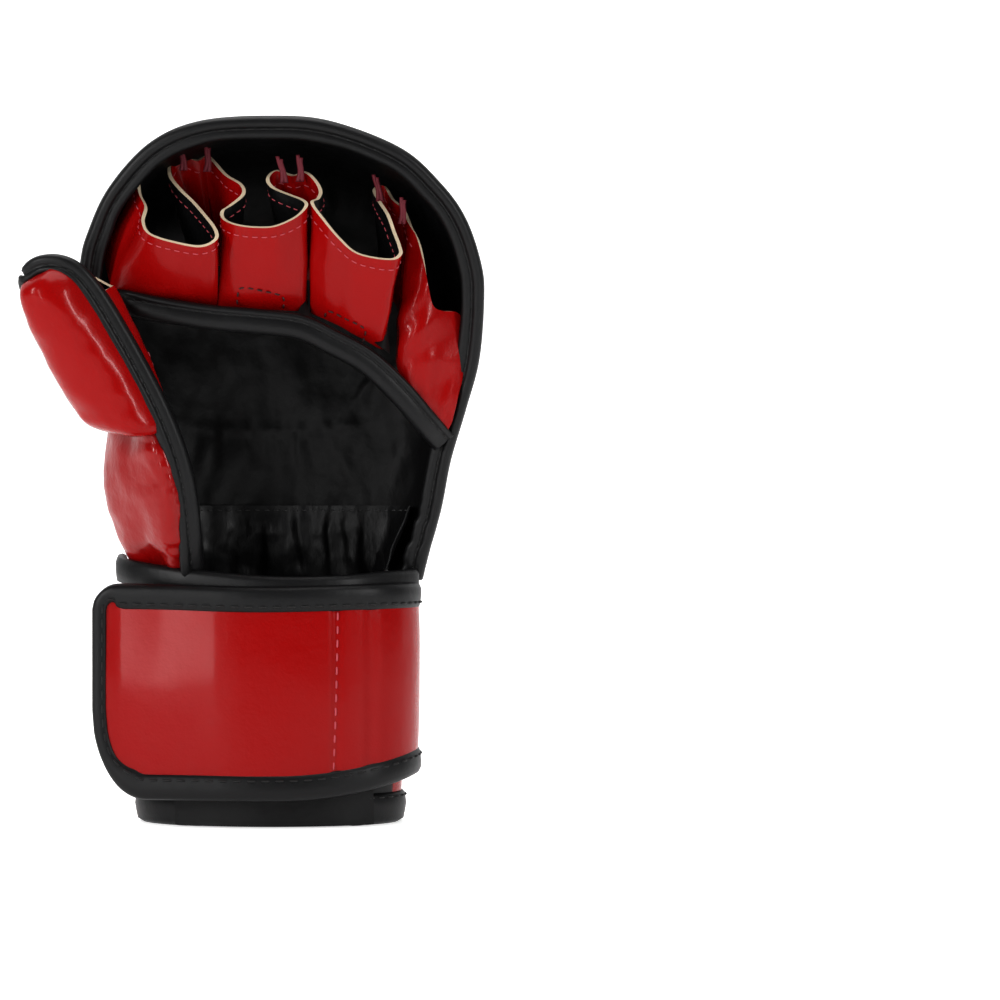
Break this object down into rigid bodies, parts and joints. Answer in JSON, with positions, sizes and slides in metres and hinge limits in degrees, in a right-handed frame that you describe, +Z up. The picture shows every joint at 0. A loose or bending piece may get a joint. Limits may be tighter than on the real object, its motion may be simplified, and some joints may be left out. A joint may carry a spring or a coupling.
{
  "type": "mma glove",
  "caption": "Left-hand open-palm MMA sparring glove with padded knuckle shield, curled thumb guard, open finger loops and a hook-and-loop wrist strap.",
  "frame": {"origin": "on the floor under the middle of the glove's overall box, the glove standing on its cuff", "axes": "+Z up, from the cuff to the fingertips; -Y out of the open palm; -X towards the thumb"},
  "size_m": [0.1609, 0.0976, 0.2494],
  "materials": {
    "red_leather": "gloss",
    "black_binding": "satin",
    "black_lining": "satin",
    "foam": "matte",
    "loop_tape": "matte",
    "hook_tape": "matte",
    "maroon_thread": "matte"
  },
  "bodies": {
    "hand_back": {"cuff_cover": "red_leather", "cuff_foam_sleeve": "foam", "cuff_lining_sleeve": "black_lining", "hem_binding": "black_binding", "wrist_band_lining": "black_lining", "wrist_band_cover": "red_leather", "wrist_band_binding": "black_binding", "loop_patch": "loop_tape", "strap_anchor": "red_leather", "back_cover": "red_leather", "back_foam_pad": "foam", "back_lining": "black_lining", "wrist_gather": "black_lining", "heel_cover": "red_leather", "heel_foam_pad": "foam", "heel_lining": "black_lining", "palm_edge_binding": "black_binding", "lower_rim_binding": "black_binding"},
    "knuckle_shield": {"knuckle_cover": "red_leather", "knuckle_outer_pad": "foam", "knuckle_inner_pad": "foam", "knuckle_lining": "black_lining", "shield_rim_binding": "black_binding", "index_loop_cover": "red_leather", "index_loop_lining": "black_lining", "middle_loop_cover": "red_leather", "middle_loop_lining": "black_lining", "ring_loop_cover": "red_leather", "ring_loop_lining": "black_lining", "little_loop_cover": "red_leather", "little_loop_lining": "black_lining", "finger_gussets": "black_binding", "bar_tacks": "maroon_thread", "side_panel": "red_leather", "palm_rim": "black_binding"},
    "thumb": {"thumb_cover": "red_leather", "thumb_foam_pad": "foam", "thumb_lining": "black_lining", "thumb_rim_binding": "black_binding", "thumb_loop": "red_leather"},
    "strap": {"strap_hook_patch": "hook_tape", "strap_lining": "black_lining", "strap_core_pad": "foam", "strap_cover": "red_leather", "strap_binding": "black_binding", "strap_seam_thread": "maroon_thread"}
  },
  "joints": [
    {"name": "shield_curl", "type": "hinge", "parent": "hand_back", "child": "knuckle_shield", "pos_m": [0.00965, 0.014, 0.145], "axis": [0.9397, 0, -0.342], "range_deg": [0, 10], "stiffness_Nm_per_rad": 0.8},
    {"name": "thumb_flex", "type": "hinge", "parent": "hand_back", "child": "thumb", "pos_m": [-0.04496, -0.03501, 0.13142], "axis": [0.761, -0.5714, 0.3074], "range_deg": [0, 30], "stiffness_Nm_per_rad": 0.2},
    {"name": "strap_open", "type": "hinge", "parent": "hand_back", "child": "strap", "pos_m": [0.05975, 0.0015, 0.0465], "axis": [0, 0, 1], "range_deg": [0, 160]}
  ]
}
